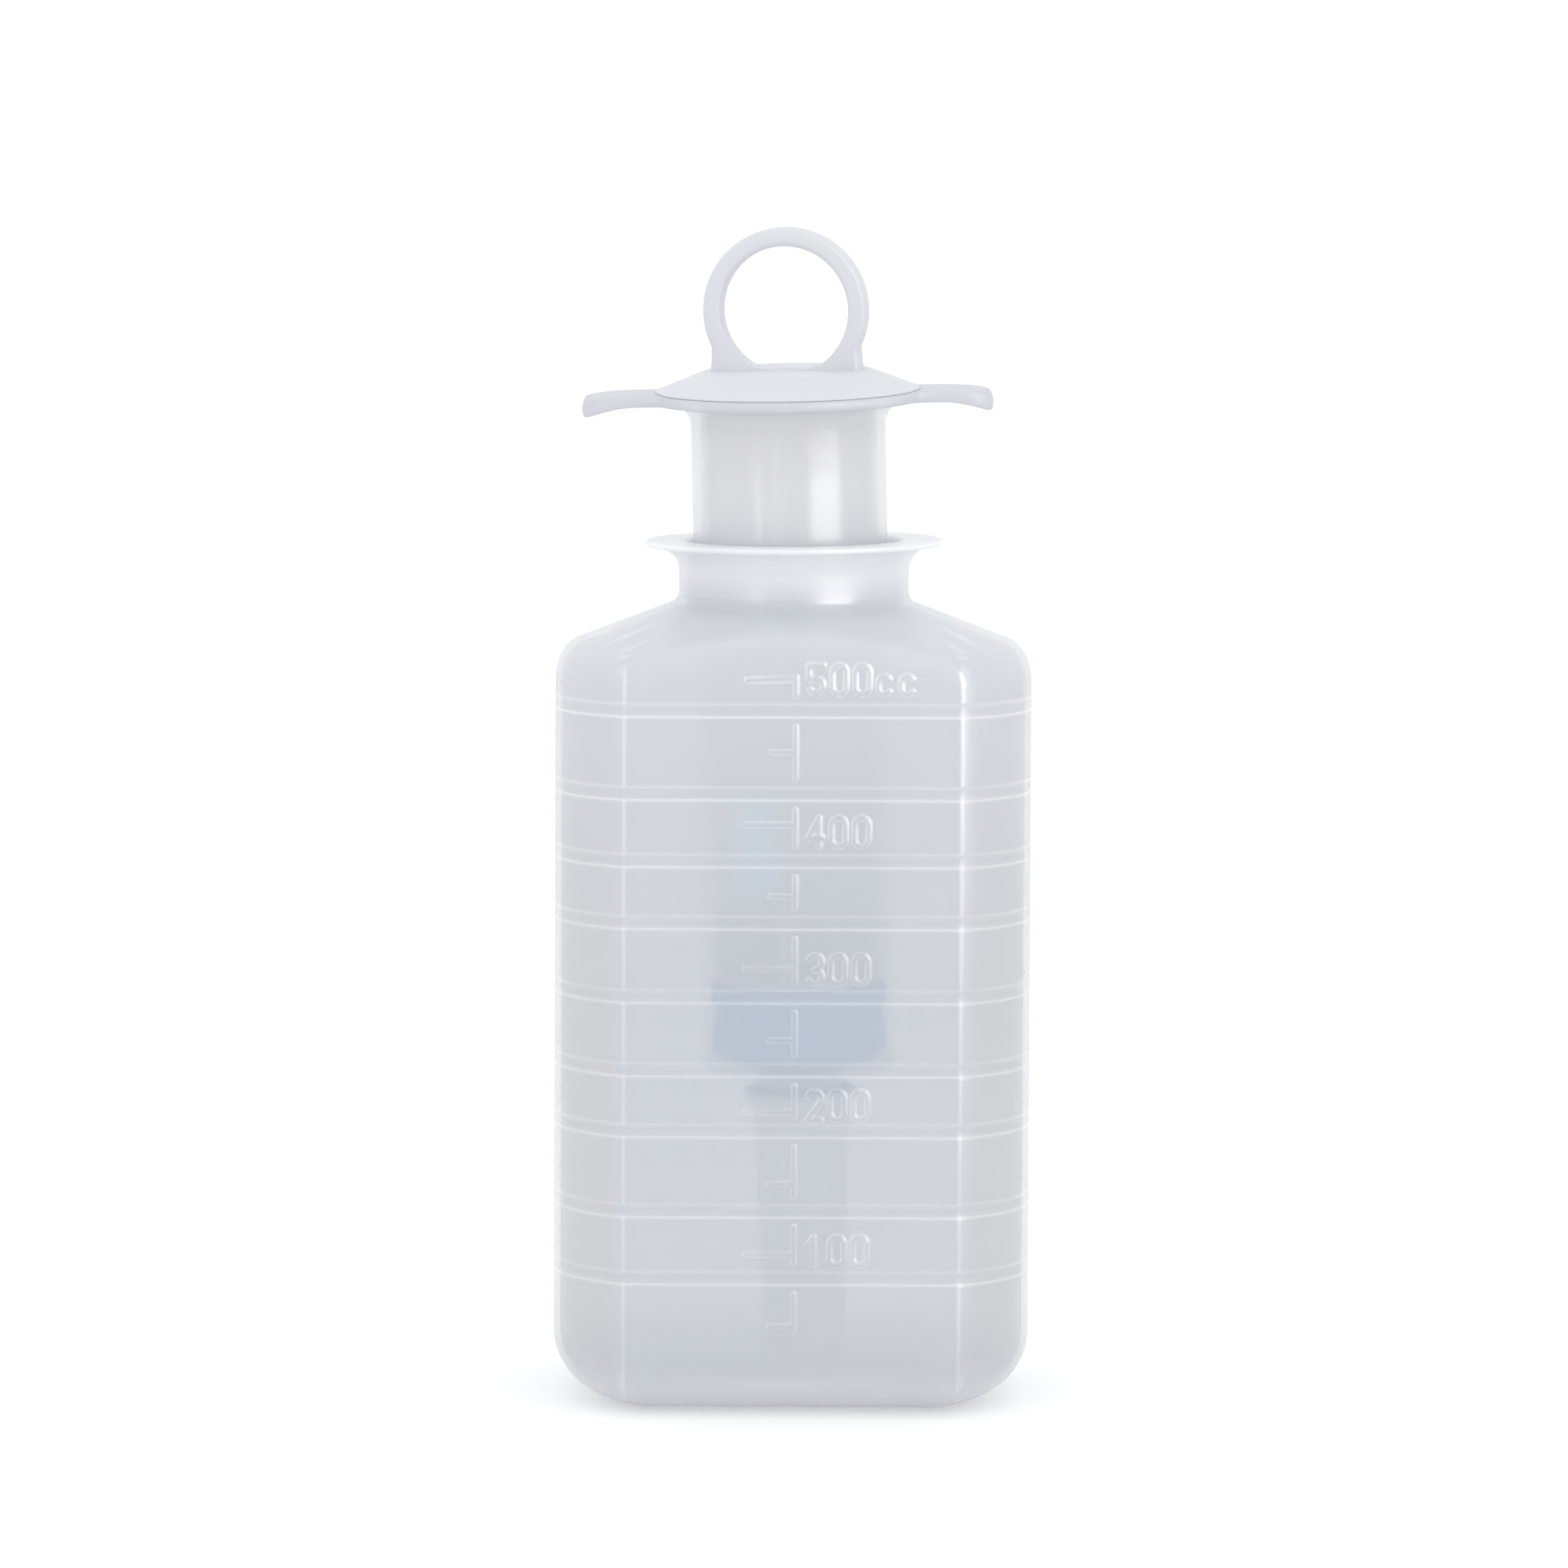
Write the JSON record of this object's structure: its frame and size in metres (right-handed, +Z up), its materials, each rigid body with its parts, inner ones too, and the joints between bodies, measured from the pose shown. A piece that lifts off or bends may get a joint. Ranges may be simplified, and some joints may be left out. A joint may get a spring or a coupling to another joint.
{
  "type": "graduated bottle with piston syringe",
  "caption": "Square-shouldered graduated plastic bottle for urine and irrigation, with a thumb ring piston syringe standing in its neck.",
  "frame": {"origin": "on the ground under the middle of the bottle", "axes": "+Z up along the bottle, -Y out of the front wall that carries the scale, +X to the right of someone who reads it"},
  "size_m": [0.0792, 0.0603, 0.1954],
  "materials": {
    "bottle_plastic": "thin milky translucent polyethylene, satin outside",
    "barrel_plastic": "translucent natural polypropylene, glossy",
    "plunger_plastic": "natural polypropylene, satin to glossy",
    "seal_rubber": "soft blue rubber, lightly lubricated",
    "cap_plastic": "milky polyethylene"
  },
  "bodies": {
    "bottle": {"bottle": "bottle_plastic"},
    "cap": {"tip_cap": "cap_plastic"},
    "barrel": {"barrel": "barrel_plastic"},
    "piston": {"piston_seal": "seal_rubber"},
    "plunger": {"plunger_rod": "plunger_plastic"}
  },
  "joints": [
    {"name": "syringe_lift", "type": "slide", "parent": "bottle", "child": "cap", "axis": [-0.0227, -0.0419, 0.9989], "range_m": [0, 0.15]},
    {"name": "cap_release", "type": "slide", "parent": "cap", "child": "barrel", "axis": [-0.0227, -0.0419, 0.9989], "range_m": [0, 0.042]},
    {"name": "plunger_draw", "type": "slide", "parent": "barrel", "child": "piston", "axis": [-0.0227, -0.0419, 0.9989], "range_m": [0, 0.086]},
    {"name": "plunger_turn", "type": "hinge", "parent": "piston", "child": "plunger", "pos_m": [-0.00118, -0.00219, 0.16831], "axis": [-0.0227, -0.0419, 0.9989], "continuous": true}
  ]
}
